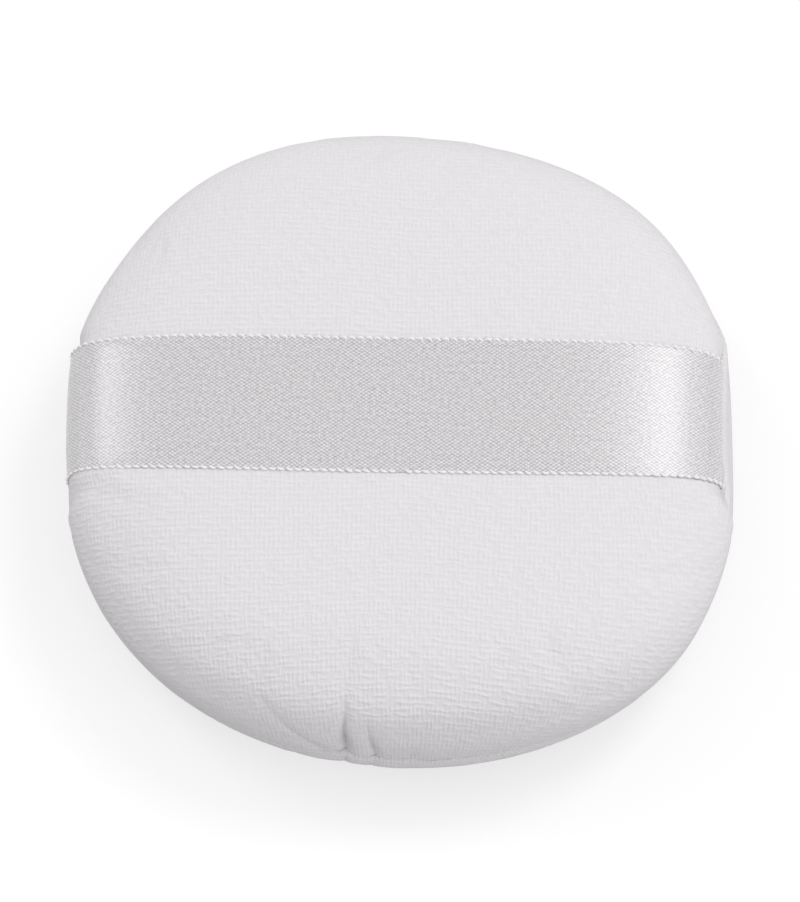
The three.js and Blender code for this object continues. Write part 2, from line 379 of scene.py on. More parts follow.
fibres = make_fibres_group()
cells_to_mm = 2.2
cell_relief = 0.12 * mm
# The cell floors' colour is painted shade in the foam's hollows
shaded_cell_floor_colour = 0.74, 0.71, 0.63
cell_wall_colour = 0.87, 0.85, 0.79


def object_place(tree):
    """The place on an object in millimetres."""
    place = add_node(tree, "ShaderNodeTexCoord")["Object"]
    return reckon_place(tree, "SCALE", {0: place, "Scale": 1 / mm})


def foam_material():
    """Open cells, about two to a millimetre. The cell floors are painted darker than the cell
    walls, as painted shade in the hollows.
    """
    material, tree, shader = new_material("foam", (0.85, 0.83, 0.77, 1), 0.9)
    place = object_place(tree)
    cells = {"Vector": place, "Scale": cells_to_mm}
    cells = add_node(tree, "ShaderNodeTexVoronoi", cells)["Distance"]
    # Painted shade: the colour darkens towards each cell's sunken floor
    tint(tree, shader, cells, shaded_cell_floor_colour, cell_wall_colour)
    height = reckon(tree, "ADD", cells, add_group(tree, fibres, {"Place": place}))
    raise_pattern(tree, shader, height, cell_relief)
    return material


pad = make_pad()
pad.data.materials.append(foam_material())
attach(pad, "puff")
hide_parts("foam_core")

# Covers
# Two rounds of white cotton velour, sewn together right side in and turned out. Each runs over
# its crown, round a soft fold at the seam and back in as an allowance. The hand stitches that
# close the turning gap, at the front left, draw puckers in both.

fold_radius = 0.8 * mm
seam_gap = 0.1 * mm
satin_thickness = 0.25 * mm
closing_thread = 0.4 * mm
play = 0.05 * mm
pocket_margin = 2 * mm
closing_length = 24 * mm
closing_fade = 4 * mm
stitch_raise = 0.3 * mm
raise_width = 1.6 * mm
raise_fade = 3 * mm

ribbon_skew = {1: 0.8 * mm, -1: 0.9 * mm}
ribbon_gather = 0.07
ribbon_bed = 0.3 * mm
bed_fade = 1.2 * mm
wall_height = 4.8 * mm
wall_fade = 4 * mm

cloth_steps = 64
finer_steps = 4
profile_samples = 400
edge_crowding = 0.35
bearing_crowding = 0.4
inner_turns = 10
cloth_span = 0.16

# Where the seam, the ribbon and the table hold the cloth while it settles, and over what length
# that fades away
seam_hold, seam_hold_fade = 7 * mm, 6 * mm
band_hold, band_hold_fade = 1 * mm, 4 * mm
table_hold, table_hold_fade = 26 * mm, 8 * mm


def edge_gap(bearing):
    """Half of the gap between the folds, which the ribbon's ends keep open."""
    ribbon = fade(off_middle(bearing), ribbon_width / 2 + pocket_margin, pocket_fade)
    return seam_gap / 2 + (satin_thickness / 2 + play - seam_gap / 2) * ribbon


def half_gap(bearing):
    """Half of the gap between the allowances, which the slip stitches keep open too."""
    closing = fade(np.abs(along_seam(bearing)), closing_length / 2, closing_fade)
    return np.maximum(edge_gap(bearing), (closing_thread / 2 + play) * closing)


def ribbon_middle(x):
    """The ribbon bows a little: its ends are further back."""
    return np.where(x > 0, ribbon_skew[1], ribbon_skew[-1]) * (x / mean_radius) ** 2


def on_top(level):
    """1 on the crown, and less and less on its shoulder and wall."""
    return 1 - fade(level, wall_height, wall_fade)


def under_ribbon(x, y, margin, length):
    return fade(np.abs(y - ribbon_middle(x)), ribbon_width / 2 + margin, length)


def disc_grid(steps):
    """A square grid laid over a disc: each point's share of the way out, and its bearing. Its lines
    crowd together at the puckers."""
    line = np.linspace(-1, 1, steps + 1)
    a, b = np.meshgrid(line, line, indexing="ij")
    wide = np.abs(a) > np.abs(b)
    safe_a, safe_b = np.where(a == 0, 1, a), np.where(b == 0, 1, b)
    east = math.pi / 4 * b / safe_a + np.where(a < 0, math.pi, 0)
    north = quarter_turn - math.pi / 4 * a / safe_b + np.where(b < 0, math.pi, 0)
    bearing = np.where(wide, east, north).ravel()
    bearing -= bearing_crowding * np.sin(bearing - closing_bearing)
    return np.maximum(np.abs(a), np.abs(b)).ravel(), bearing


def cloth_outside(steps, outline, height, limit, side):
    """The outside of a cover from its apex to the allowance's edge, its place on the flat cloth,
    and how firmly each point is held when the cloth settles."""
    share, bearing = disc_grid(steps)
    turns = np.linspace(quarter_turn, math.asin((fold_radius / height) ** 2), profile_samples)
    radii, levels = crown(np.full(profile_samples, mean_radius), height, limit, turns)
    down = np.concatenate([[0], np.cumsum(np.hypot(np.diff(radii), np.diff(levels)))])
    to_fold, round_fold = down[-1], fold_radius * quarter_turn
    whole = to_fold + round_fold + allowance_depth - fold_radius
    length = whole * share * (1 + edge_crowding * (1 - share))
    done = (quarter_turn - np.interp(length, down, turns)) / (quarter_turn - turns[-1])
    gap, inner_gap = edge_gap(bearing), half_gap(bearing)
    lowest = np.arcsin(((gap + fold_radius) / height) ** 2)
    turn = quarter_turn - done * (quarter_turn - lowest)
    radius, level = crown(outline(bearing), height, limit, turn)
    past = length - to_fold
    fold = np.clip(past / fold_radius, 0, quarter_turn)
    inset = np.maximum(past - round_fold, 0)
    folded = outline(bearing) - fold_radius * (1 - np.cos(fold)) - inset
    radius = np.where(past > 0, folded, radius)
    opened = gap + (inner_gap - gap) * (1 - fade(inset, 0, 2 * fold_radius))
    level = np.where(past > 0, opened + fold_radius * (1 - np.sin(fold)), level)
    radius -= drawn_in(bearing, level, side) * fade(inset, 0, allowance_depth - fold_radius)
    first_place = puckers[0][0]
    raised = np.maximum(1 - np.abs(along_seam(bearing) - first_place) / raise_width, 0)
    level += side * stitch_raise * raised * fade(level, fold_radius, raise_fade)
    points = placed(radius, bearing, side * level)
    held = 1 - fade(length, to_fold - seam_hold, seam_hold_fade)
    x, y = (points - seam_middle)[:, :2].T
    if side > 0:
        points[:, 2] -= ribbon_bed * on_top(level) * under_ribbon(x, y, -bed_fade, bed_fade)
        held = np.maximum(held, under_ribbon(x, y, -band_hold, band_hold_fade))
    else:
        held = np.maximum(held, fade(radius, table_hold, table_hold_fade))
    flat = np.stack([length * np.cos(bearing), length * np.sin(bearing)], axis=-1)
    return points, flat, held


def grid_faces(steps):
    i, j = np.meshgrid(np.arange(steps), np.arange(steps), indexing="ij")
    corner = (i * (steps + 1) + j).ravel()
    far = corner + steps + 1
    return np.stack([corner, far, far + 1, corner + 1], axis=-1).tolist()


# The cloth is settled at ten times its size, where the solver's weights and forces suit it
settle_scale = 10
settle_shrink = 0.008
settle_pressure = 3.5
settle_frames = 20
settle_cap = 0.5 * mm


def settled(points, held):
    """How far the pad's push moves each point of a cover, from a slightly smaller start."""
    start = points - settle_shrink * (1 - held)[:, None] * (points - seam_middle)
    mesh = bpy.data.meshes.new("settling")
    mesh.from_pydata((start * settle_scale).tolist(), [], grid_faces(cloth_steps))
    cloth = add_object("settling", mesh)
    group = cloth.vertex_groups.new(name="held")
    for number, weight in enumerate(held):
        group.add([number], float(weight), "REPLACE")
    modifier = cloth.modifiers.new("settling", "CLOTH")
    settings = modifier.settings
    settings.vertex_group_mass = "held"
    settings.use_pressure = True
    settings.uniform_pressure_force = settle_pressure
    settings.effector_weights.gravity = 0
    modifier.point_cache.frame_start, modifier.point_cache.frame_end = 1, settle_frames
    scene = bpy.context.scene
    for number in range(1, settle_frames + 1):
        scene.frame_set(number)
    evaluated = cloth.evaluated_get(bpy.context.evaluated_depsgraph_get())
    after = np.empty(3 * len(points), dtype=np.float32)
    evaluated.data.vertices.foreach_get("co", after)
    bpy.data.objects.remove(cloth)
    bpy.data.meshes.remove(mesh)
    scene.frame_set(1)
    moved = after.reshape(-1, 3) / settle_scale - start
    far = np.linalg.norm(moved, axis=1, keepdims=True)
    return start + moved * settle_cap / (settle_cap + far) - points


def finer(field):
    """The same field on a finer grid, drawn smoothly through its points."""
    field = field.reshape(cloth_steps + 1, cloth_steps + 1, 3)
    for axis in (0, 1):
        field = np.moveaxis(field, axis, 0)
        ends = 2 * field[:1] - field[1:2], 2 * field[-1:] - field[-2:-1]
        padded = np.concatenate([ends[0], field, ends[1]])
        at = np.arange(cloth_steps * finer_steps + 1) / finer_steps
        cell = np.minimum(at.astype(int), cloth_steps - 1)
        t = (at - cell)[:, None, None]
        a, b, c, d = (padded[cell + k] for k in range(4))
        bend = 2 * a - 5 * b + 4 * c - d + t * (3 * (b - c) + d - a)
        field = np.moveaxis(b + 0.5 * t * (c - a + t * bend), 0, axis)
    return field.reshape(-1, 3)


def inside_rings(outline, height, limit, side, bearing):
    """The cloth's inner face, from the back of the allowance to near the apex."""
    inner = outline(bearing) - cloth_thickness
    back = side * (half_gap(bearing) + allowance_thickness)
    rim = outline(bearing) - allowance_depth
    corner = inner - drawn_in(bearing, np.abs(back), side)
    rings = [placed(rim, bearing, back), placed(corner, bearing, back)]
    for turn in np.linspace(0, quarter_turn, inner_turns)[2:-1]:
        radius, level = crown(inner, height - cloth_thickness, limit - cloth_thickness, turn)
        radius = radius - drawn_in(bearing, level, side)
        rings.append(placed(radius, bearing, side * level))
    return rings, seam_middle + [0, 0, side * (limit - cloth_thickness)]


def make_cover(name, outline, height, limit, side):
    steps = cloth_steps * finer_steps
    outside, flat, _ = cloth_outside(steps, outline, height, limit, side)
    coarse, _, held = cloth_outside(cloth_steps, outline, height, limit, side)
    outside += finer(settled(coarse, held))
    index = np.arange(len(outside)).reshape(steps + 1, steps + 1)
    rim = np.concatenate([index[0, :-1], index[:-1, -1], index[-1, :0:-1], index[:0:-1, 0]])
    x, y = (outside[rim] - seam_middle)[:, :2].T
    rings, apex = inside_rings(outline, height, limit, side, np.arctan2(y, x))
    first, count = len(outside), len(rim)
    points = np.concatenate([outside, *rings, [apex]])
    faces = grid_faces(steps)
    here = np.arange(count)
    there = (here + 1) % count
    faces += np.stack([rim, rim[there], first + there, first + here], axis=-1).tolist()
    faces += [face[::-1] for face in ring_faces(len(rings), count, first)]
    faces += pole_faces(len(points) - 1, first + (len(rings) - 1) * count, count)
    flat = np.concatenate([flat, (points[first:] - seam_middle)[:, :2]])
    return mesh_piece(name, points, faces, 0.5 + flat / cloth_span)


def cloth_place(tree):
    """The place on the flat cloth in millimetres."""
    place = add_node(tree, "ShaderNodeUVMap", uv_map="cloth")["UV"]
    return reckon_place(tree, "SCALE", {0: place, "Scale": cloth_span / mm})


def make_weave_group():
    """Raised floats in staggered rows, which wander a little."""
    sockets = [
        ("Place", "NodeSocketVector", None),
        ("Pitch along", "NodeSocketFloat", 1),
        ("Pitch across", "NodeSocketFloat", 1),
        ("Wander", "NodeSocketFloat", 0.1),
    ]
    group, given, result = new_group("weave", "ShaderNodeTree", sockets, "Height")
    drift = {"Vector": given["Place"], "Scale": 0.6, "Detail": 2}
    drift = add_node(group, "ShaderNodeTexNoise", drift)["Color"]
    drift = reckon_place(group, "SUBTRACT", {0: drift, 1: (0.5, 0.5, 0.5)})
    drift = reckon_place(group, "SCALE", {0: drift, "Scale": given["Wander"]})
    moved = reckon_place(group, "ADD", {0: given["Place"], 1: drift})
    axes = add_node(group, "ShaderNodeSeparateXYZ", {0: moved})
    waves = []
    for axis, pitch in (("X", "Pitch along"), ("Y", "Pitch across")):
        turn = reckon(group, "DIVIDE", axes[axis], given[pitch])
        turn = reckon(group, "MULTIPLY", turn, full_turn)
        waves.append(reckon(group, "COSINE", turn))
    height = reckon(group, "MULTIPLY", *waves)
    height = reckon(group, "MULTIPLY_ADD", height, 0.5, 0.5)
    group.links.new(height, result.inputs["Height"])
    return group


weave = make_weave_group()


def make_dashes_group():
    """Short ridges that lie side by side, longer than they are wide."""
    sockets = [
        ("Place", "NodeSocketVector", None),
        ("Size along", "NodeSocketFloat", 1),
        ("Size across", "NodeSocketFloat", 1),
    ]
    group, given, result = new_group("dashes", "ShaderNodeTree", sockets, "Height")
    size = {"X": given["Size along"], "Y": given["Size across"], "Z": 1}
    size = add_node(group, "ShaderNodeCombineXYZ", size)[0]
    place = reckon_place(group, "DIVIDE", {0: given["Place"], 1: size})
    noise = add_node(group, "ShaderNodeTexNoise", {"Vector": place, "Scale": 1, "Detail": 0})
    group.links.new(noise["Fac"], result.inputs["Height"])
    return group


dashes = make_dashes_group()

# In millimetres on the flat cloth, where a plain pitch is so long that no wave shows
row_pitch = 0.85
rib_pitch = 0.62
ridge_length = 1.6
plain = 1000
knit_wander = 0.5
pile_size = 0.3
rib_share = 0.7
pile_share = 0.5
faint_ridge, full_ridge = 0.35, 0.65
low_pile, high_pile = 0.3, 1
velour_relief = 0.22 * mm
velour_relief_strength = 0.5
# The low colour is painted shade, where the pile sinks into the knit's troughs
velour_trough_shade_colour = 0.73, 0.709, 0.73
velour_high_colour = 0.77, 0.748, 0.77


def share_between(tree, value, low, high):
    """0 where a value is low or less, 1 where it is high or more, and even between."""
    return add_node(tree, "ShaderNodeMapRange", {0: value, 1: low, 2: high})[0]


def velour_material():
    """Short pile over a knitted ground, whose rows and ribs show through in turn, painted darker
    where the pile is low, as painted shade in the troughs.
    """
    material, tree, shader = new_material("velour", (0.775, 0.752, 0.775, 1), 1)
    shader.inputs["Sheen Weight"].default_value = 0.2
    shader.inputs["Sheen Roughness"].default_value = 0.5
    shader.inputs["Specular IOR Level"].default_value = 0.15
    place = cloth_place(tree)
    knit = []
    for along, across in ((None, row_pitch), (rib_pitch, None)):
        pitch = {"Pitch along": along or plain, "Pitch across": across or plain}
        wave = add_group(tree, weave, {"Place": place, "Wander": knit_wander, **pitch})
        size = {"Size along": along or ridge_length, "Size across": across or ridge_length}
        uneven = add_group(tree, dashes, {"Place": place, **size})
        uneven = share_between(tree, uneven, faint_ridge, full_ridge)
        knit.append(reckon(tree, "MULTIPLY", wave, uneven))
    rows, ribs = knit
    knit = reckon(tree, "MULTIPLY_ADD", ribs, rib_share, rows)
    fuzz = add_group(tree, fibres, {"Place": place, "Fibre size": pile_size})
    pile = reckon(tree, "MULTIPLY_ADD", fuzz, pile_share, knit)
    # Painted shade: the lower the pile, the darker its colour
    shade = share_between(tree, pile, low_pile, high_pile)
    tint(tree, shader, shade, velour_trough_shade_colour, velour_high_colour)
    raise_pattern(tree, shader, pile, velour_relief, velour_relief_strength)
    return material


velour = velour_material()
bottom = make_cover("bottom_cloth", plan_radius, lower_height, lower_height - rest_flat, -1)
top = make_cover("top_cloth", upper_radius, upper_height, upper_height, 1)
for piece, node in ((bottom, "bottom_cover"), (top, "top_cover")):
    piece.data.materials.append(velour)
    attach(piece, "puff")
    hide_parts(node)

# Ribbon
# A 20 mm woven satin ribbon, laid across the upper cover before the seam is sewn, so that the
# seam catches both its ends. It is one length, made as two halves that meet on top.

ribbon_sink = 0.2 * mm
ribbon_along = 120
ribbon_lip = 10
ribbon_tail = 12
ribbon_across = 26
probe = 0.01 * mm
reach_rounds = 20

# In millimetres on the flat ribbon
float_pitch_along = 0.72
float_pitch_across = 0.5
float_wander = 0.2
float_power = 1.8
satin_fuzz_size = 0.5
satin_fuzz_share = 1.6
shaded_ground_level, highlit_float_level = 0.5, 1.8
satin_relief = 0.03 * mm
satin_relief_strength = 0.5
# Painted shade on the ground between the floats, and painted highlight on the floats
satin_shaded_ground_colour = 0.34, 0.327, 0.34
satin_highlit_float_colour = 0.81, 0.793, 0.81


def edge_reach(across, side):
    """How far out the upper cover's edge is at a distance across the ribbon."""
    reach = mean_radius
    for _ in range(reach_rounds):
        bearing = math.atan2(across, side * reach)
        reach = math.sqrt(upper_radius(np.array(bearing)) ** 2 - across**2)
    return reach


def fill_share(x, y, z):
    plan = np.hypot(x, y) / upper_radius(np.arctan2(y, x))
    return plan**crown_exponent + (z / upper_height) ** crown_exponent


def over_crown(x, y, lift):
    """Points that far above the upper crown, square to it."""
    z = upper_height * np.maximum(1 - fill_share(x, y, 0), 0) ** (1 / crown_exponent)
    slope = np.stack([
        fill_share(x + probe, y, z) - fill_share(x - probe, y, z),
        fill_share(x, y + probe, z) - fill_share(x, y - probe, z),
        fill_share(x, y, z + probe) - fill_share(x, y, z - probe),
    ], axis=-1)
    slope /= np.linalg.norm(slope, axis=-1, keepdims=True)
    lift = lift - ribbon_sink * on_top(z)
    return np.stack([x, y, z], axis=-1) + lift[:, None] * slope


def even_turns():
    """Turns down the crown that are even steps apart along the ribbon."""
    lowest = math.asin(((fold_radius + satin_thickness / 2 + play) / upper_height) ** 2)
    turns = np.linspace(quarter_turn, lowest, profile_samples)
    radii, levels = crown(np.full(profile_samples, mean_radius), upper_height, upper_height, turns)
    length = np.concatenate([[0], np.cumsum(np.hypot(np.diff(radii), np.diff(levels)))])
    return np.interp(np.linspace(0, length[-1], ribbon_along), length, turns)


def ribbon_line(across, side, lift):
    """The ribbon's path at one distance across it, from the middle of the top into the seam."""
    edge = edge_reach(across, side)
    turns = even_turns()
    x = side * edge * np.cos(turns) ** (2 / crown_exponent)
    down = over_crown(x, np.full_like(x, across), lift)
    bend = np.linspace(0, quarter_turn, ribbon_lip + 1)[1:]
    radius, seat = fold_radius + lift, satin_thickness / 2 + play
    lip_x = side * (edge - fold_radius + radius * np.cos(bend))
    lip_z = seat + fold_radius - radius * np.sin(bend)
    tail_end = side * (edge_reach(0, side) - allowance_depth)
    tail_x = np.linspace(lip_x[-1], tail_end, ribbon_tail + 1)[1:]
    tail_z = np.full(ribbon_tail, lip_z[-1])
    x, z = np.concatenate([lip_x, tail_x]), np.concatenate([lip_z, tail_z])
    line = np.concatenate([down, np.stack([x, np.full_like(x, across), z], axis=-1)])
    gather = ribbon_gather * (line[:, 0] / mean_radius) ** 4
    line[:, 1] += ribbon_middle(line[:, 0]) - gather * across
    line[:, 0] -= side * waist(0, np.maximum(line[:, 2], 0), 1)
    line[:, 2] += seam_shift(np.arctan2(line[:, 1], line[:, 0]), line[:, 2])
    return line + seam_middle


def path_length(line):
    return np.concatenate([[0], np.cumsum(np.linalg.norm(np.diff(line, axis=0), axis=1))])


def make_ribbon_half(name, side):
    acrosses = np.linspace(-ribbon_width / 2, ribbon_width / 2, ribbon_across + 1)
    under = [ribbon_line(across, side, play) for across in acrosses]
    over = [ribbon_line(across, side, play + satin_thickness) for across in acrosses]
    loops = np.stack(under + over[::-1]).transpose(1, 0, 2)
    count, around = loops.shape[:2]
    faces = ring_faces(count, around)
    for start in (0, (count - 1) * around):
        last = start + around - 1
        faces += [(start + i, start + i + 1, last - i - 1, last - i) for i in range(ribbon_across)]
    along = path_length(ribbon_line(0, side, play))
    across = np.concatenate([acrosses, acrosses[::-1]])
    flat = np.stack(np.meshgrid(side * along, across, indexing="ij"), axis=-1).reshape(-1, 2)
    piece = mesh_piece(name, loops.reshape(-1, 3), faces, 0.5 + flat / cloth_span)
    return piece, float(along[-1])


def satin_material():
    """Long floats in staggered rows, painted lighter as painted highlight, over a ground painted
    darker as painted shade.
    """
    material, tree, shader = new_material("satin", (0.6, 0.583, 0.6, 1), 0.34)
    shader.inputs["IOR"].default_value = 1.6
    shader.inputs["Specular IOR Level"].default_value = 1
    shader.inputs["Anisotropic"].default_value = 0.6
    shader.inputs["Anisotropic Rotation"].default_value = 0.25
    tangent = add_node(tree, "ShaderNodeTangent", direction_type="UV_MAP", uv_map="cloth")
    tree.links.new(tangent["Tangent"], shader.inputs["Tangent"])
    place = cloth_place(tree)
    floats = {"Pitch along": float_pitch_along, "Pitch across": float_pitch_across}
    floats = add_group(tree, weave, {"Place": place, "Wander": float_wander, **floats})
    floats = reckon(tree, "POWER", floats, float_power)
    fuzz = add_group(tree, fibres, {"Place": place, "Fibre size": satin_fuzz_size})
    uneven = reckon(tree, "MULTIPLY_ADD", fuzz, satin_fuzz_share, floats)
    # Painted light: the ground between the floats is coloured as shade and the floats as highlight
    shade = share_between(tree, uneven, shaded_ground_level, highlit_float_level)
    tint(tree, shader, shade, satin_shaded_ground_colour, satin_highlit_float_colour)
    raise_pattern(tree, shader, floats, satin_relief, satin_relief_strength)
    return material


satin = satin_material()
halves = (1, "right"), (-1, "left")
ribbon_halves = {side: make_ribbon_half(f"ribbon_{name}", side) for side, name in halves}

# Selvedges
# Both edges of the ribbon are woven with loops of a thicker bright yarn, about one to a
# millimetre, that lean and stand out past the edge.

loop_spacing = 1.12 * mm
loop_length = 0.98 * mm
loop_diameter = 0.42 * mm
loop_inset = 0.25 * mm
loop_sink = 0.12 * mm
loop_lean = -0.3
loop_lean_spread = 0.2
loop_rise_share = 0.9
loop_tip_share = 0.4
loop_seed = 7
yarn_fibre_size = 0.12
yarn_relief = 0.03 * mm
yarn_relief_strength = 0.6
yarn_shade_colour = 0.8, 0.79, 0.8
yarn_bright_colour = 0.92, 0.91, 0.92


def link_result(tree, shape, material, result):
    """Ends a tree: the shape made real, smooth and of that material."""
    shape = add_node(tree, "GeometryNodeRealizeInstances", {0: shape})[0]
    shape = add_node(tree, "GeometryNodeSetShadeSmooth", {0: shape})[0]
    shape = add_node(tree, "GeometryNodeSetMaterial", {0: shape, "Material": material})[0]
    tree.links.new(shape, result.inputs[0])


def make_loop_tree():
    """Grows a leaning loop of yarn at even steps along each line. up is the way out of the
    cloth."""
    sockets = [
        ("Lines", "NodeSocketGeometry", None),
        ("Spacing", "NodeSocketFloat", 0.001),
        ("Length", "NodeSocketFloat", 0.001),
        ("Diameter", "NodeSocketFloat", 0.0003),
        ("Lean", "NodeSocketFloat", 0.3),
        ("Lean spread", "NodeSocketFloat", 0.1),
        ("Yarn", "NodeSocketMaterial", None),
    ]
    output = "Loops", "NodeSocketGeometry"
    tree, given, result = new_group("selvedge", "GeometryNodeTree", sockets, *output)
    tree.is_modifier = True
    half = reckon(tree, "MULTIPLY", given["Length"], 0.5)
    back = reckon(tree, "MULTIPLY", half, -1)
    start, end = (add_node(tree, "ShaderNodeCombineXYZ", {"X": x})[0] for x in (back, half))
    rise = reckon(tree, "MULTIPLY", given["Diameter"], loop_rise_share)
    rise = add_node(tree, "ShaderNodeCombineXYZ", {"Y": rise, "Z": rise})[0]
    arc = {"Resolution": 6, "Start": start, "Middle": rise, "End": end}
    arc = add_node(tree, "GeometryNodeCurveQuadraticBezier", arc)[0]
    swell = add_node(tree, "GeometryNodeSplineParameter")["Factor"]
    swell = reckon(tree, "SINE", reckon(tree, "MULTIPLY", swell, math.pi))
    swell = reckon(tree, "MULTIPLY_ADD", swell, 1 - loop_tip_share, loop_tip_share)
    width = reckon(tree, "MULTIPLY", swell, given["Diameter"])
    ring = {"Resolution": 5, "Radius": 0.5}
    ring = add_node(tree, "GeometryNodeCurvePrimitiveCircle", ring)[0]
    loop = {"Curve": arc, "Profile Curve": ring, "Scale": width, "Fill Caps": True}
    loop = add_node(tree, "GeometryNodeCurveToMesh", loop)[0]
    curve = add_node(tree, "GeometryNodeMeshToCurve", {0: given["Lines"]})[0]
    even = {"Curve": curve, "Length": given["Spacing"]}
    even = add_node(tree, "GeometryNodeResampleCurve", even, mode="LENGTH")[0]
    tangent = add_node(tree, "GeometryNodeInputTangent")[0]
    up = {"Name": "up"}
    up = add_node(tree, "GeometryNodeInputNamedAttribute", up, data_type="FLOAT_VECTOR")[0]
    way = {"Vector": tangent}
    way = add_node(tree, "FunctionNodeAlignRotationToVector", way, axis="X")[0]
    way = {"Rotation": way, "Vector": up}
    way = add_node(tree, "FunctionNodeAlignRotationToVector", way, axis="Z", pivot_axis="X")[0]
    least = reckon(tree, "SUBTRACT", given["Lean"], given["Lean spread"])
    most = reckon(tree, "ADD", given["Lean"], given["Lean spread"])
    lean = {2: least, 3: most, "Seed": loop_seed}
    lean = add_node(tree, "FunctionNodeRandomValue", lean, data_type="FLOAT")[1]
    lean = {"Axis": (0, 0, 1), "Angle": lean}
    lean = add_node(tree, "FunctionNodeAxisAngleToRotation", lean)[0]
    way = {"Rotation": way, "Rotate By": lean}
    way = add_node(tree, "FunctionNodeRotateRotation", way, rotation_space="LOCAL")[0]
    loops = {"Points": even, "Instance": loop, "Rotation": way}
    loops = add_node(tree, "GeometryNodeInstanceOnPoints", loops)[0]
    link_result(tree, loops, given["Yarn"], result)
    return tree


def line_mesh(name, lines, ups=None):
    """A mesh of open lines, with the way out of the cloth at each point."""
    mesh = bpy.data.meshes.new(name)
    edges, first = [], 0
    for line in lines:
        edges += [(first + i, first + i + 1) for i in range(len(line) - 1)]
        first += len(line)
    mesh.from_pydata(np.concatenate(lines).tolist(), edges, [])
    if ups is not None:
        layer = mesh.attributes.new("up", "FLOAT_VECTOR", "POINT")
        layer.data.foreach_set("vector", np.concatenate(ups).astype(np.float32).ravel())
    return mesh


def grown(name, mesh, tree, values):
    """A plain mesh piece that a node tree grows from a mesh of lines."""
    piece = add_object(name, mesh)
    modifier = piece.modifiers.new(name, "NODES")
    modifier.node_group = tree
    for label, value in values.items():
        modifier[tree.interface.items_tree[label].identifier] = value
    evaluated = piece.evaluated_get(bpy.context.evaluated_depsgraph_get())
    result = bpy.data.meshes.new_from_object(evaluated)
    piece.modifiers.remove(modifier)
    piece.data = result
    return piece


def selvedge_lines(side):
    """The two edges of half of the ribbon, between half a step off the middle and the seam, each
    run in the direction in which its loops stand out past the edge."""
    lines, ups = [], []
    for edge in (1, -1):
        across = edge * (ribbon_width / 2 - loop_inset)
        line = ribbon_line(across, side, play + satin_thickness - loop_sink)
        beside = ribbon_line(across - edge * mm, side, play + satin_thickness - loop_sink)
        tangent = np.gradient(line, axis=0)
        up = np.cross(tangent, beside - line)
        up /= np.linalg.norm(up, axis=1, keepdims=True)
        up *= np.sign(up[0, 2])
        keep = path_length(line) > loop_spacing / 2
        way = side * edge
        lines.append(line[keep][::way])
        ups.append(up[keep][::way])
    return lines, ups


def yarn_material():
    """A bright yarn of loose fine fibres."""
    material, tree, shader = new_material("selvedge_yarn", (0.86, 0.85, 0.86, 1), 0.45)
    fuzz = {"Place": object_place(tree), "Fibre size": yarn_fibre_size}
    fuzz = add_group(tree, fibres, fuzz)
    tint(tree, shader, fuzz, yarn_shade_colour, yarn_bright_colour)
    raise_pattern(tree, shader, fuzz, yarn_relief, yarn_relief_strength)
    return material


loop_tree = make_loop_tree()
loop_values = {
    "Spacing": loop_spacing, "Length": loop_length, "Diameter": loop_diameter,
    "Lean": loop_lean, "Lean spread": loop_lean_spread, "Yarn": yarn_material(),
}
for side, name in halves:
    ribbon, half_length = ribbon_halves[side]
    ribbon.data.materials.append(satin)
    mesh = line_mesh(f"selvedge_{name}", *selvedge_lines(side))
    loops = grown(f"selvedge_{name}", mesh, loop_tree, loop_values)
    for piece in (ribbon, loops):
        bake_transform(piece)
        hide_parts(f"ribbon_end_{name}", "ribbon_span")

# Threads
# White sewing thread. The machine seam is a lockstitch along the allowances: its needle thread
# lies on the back of the upper one and its bobbin thread on the back of the lower, and they meet
# in each needle hole. Slip stitches close the turning gap by hand, to and fro inside both folds.

machine_stitch = 2.6 * mm
stitch_points = 8
hole_sharpness = 8
hand_stitch = 4 * mm
hand_bite = 2.4 * mm
hand_inset = 0.6 * mm
thread_fibre_size = 0.15
thread_relief = 0.04 * mm
thread_shade_colour = 0.76, 0.76, 0.76
thread_bright_colour = 0.88, 0.88, 0.88


def make_thread_tree():
    """Grows a round thread along each line."""
    sockets = [
        ("Lines", "NodeSocketGeometry", None),
        ("Diameter", "NodeSocketFloat", 0.0003),
        ("Thread", "NodeSocketMaterial", None),
    ]
    output = "Threads", "NodeSocketGeometry"
    tree, given, result = new_group("thread", "GeometryNodeTree", sockets, *output)
    tree.is_modifier = True
    curve = add_node(tree, "GeometryNodeMeshToCurve", {0: given["Lines"]})[0]
    ring = {"Resolution": 6, "Radius": reckon(tree, "MULTIPLY", given["Diameter"], 0.5)}
    ring = add_node(tree, "GeometryNodeCurvePrimitiveCircle", ring)[0]
    threads = {"Curve": curve, "Profile Curve": ring, "Fill Caps": True}
    threads = add_node(tree, "GeometryNodeCurveToMesh", threads)[0]
    link_result(tree, threads, given["Thread"], result)
    return tree


def machine_line(outline, side):
    """One thread of the lockstitch, from one end of the turning gap round to the other."""
    gap_turn = closing_length / mean_radius
    stitches = int((full_turn - gap_turn) * mean_radius / machine_stitch)
    step = np.arange(stitches * stitch_points + 1) / stitch_points
    bearing = closing_bearing + gap_turn / 2 + (full_turn - gap_turn) * step / stitches
    radius = outline(bearing) - cloth_thickness - clearance - seam_thread / 2
    radius -= drawn_in(bearing, 0 * bearing, side)
    back = half_gap(bearing) + allowance_thickness + clearance + seam_thread / 2
    hole = np.cos(math.pi * step) ** hole_sharpness
    return placed(radius, bearing, side * (back + (seam_thread / 2 - back) * hole))


def closing_line():
    """The hand-sewn thread, to and fro across the turning gap."""
    count = 2 * round(closing_length / hand_stitch)
    step = np.arange(count * stitch_points + 1) / stitch_points
    bearing = closing_bearing + (step / 2 - count / 4) * hand_stitch / mean_radius
    deepest = max(pucker[2] for pucker in puckers)
    outer = upper_radius(bearing) - fold_radius - deepest - closing_thread - hand_inset
    to_and_fro = (1 - np.cos(math.pi * step)) / 2
    return placed(outer - hand_bite * to_and_fro, bearing, 0 * step)


